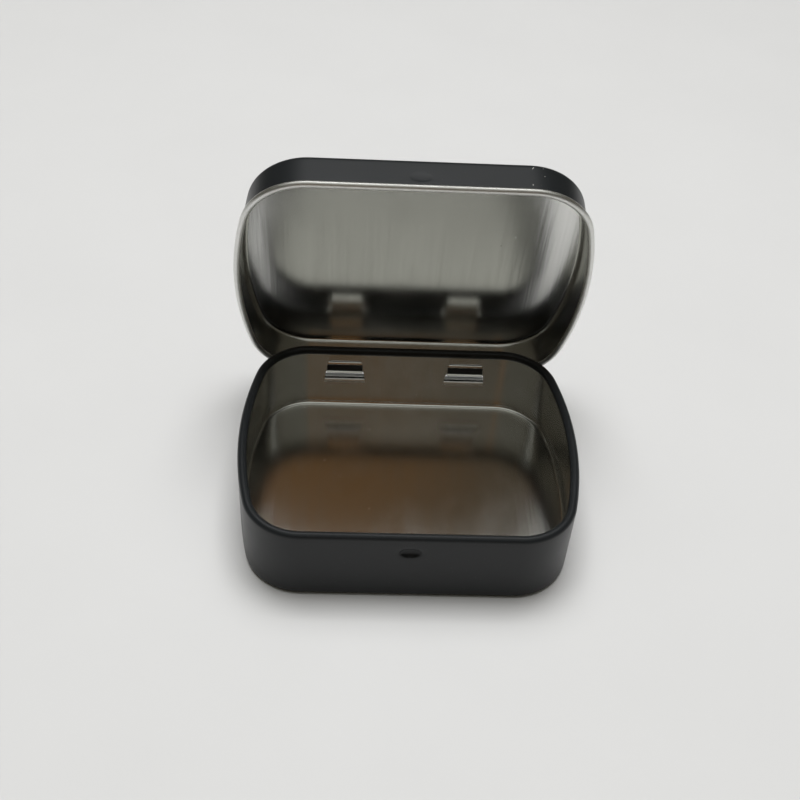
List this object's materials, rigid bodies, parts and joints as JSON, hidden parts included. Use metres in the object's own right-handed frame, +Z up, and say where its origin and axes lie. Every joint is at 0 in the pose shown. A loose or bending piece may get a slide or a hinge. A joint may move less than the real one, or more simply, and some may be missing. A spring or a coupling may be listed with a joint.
{
  "type": "hinged tin box",
  "caption": "Small rectangular tinplate box with rounded corners and a hinged lid, standing open.",
  "frame": {"origin": "middle of the base's flat underside, on the surface that the box stands on", "axes": "+Z up, -Y towards the front, +X to the right seen from the front; the hinge runs along X behind the rear wall"},
  "size_m": [0.0634, 0.0555, 0.0575],
  "materials": {
    "base": "satin",
    "lid": "satin"
  },
  "bodies": {
    "base": {"base": "base"},
    "lid": {"lid": "lid"}
  },
  "joints": [
    {"name": "lid_hinge", "type": "hinge", "parent": "base", "child": "lid", "pos_m": [0, 0.02452, 0.00818], "axis": [1, 0, 0], "range_deg": [0, 78.5]}
  ]
}
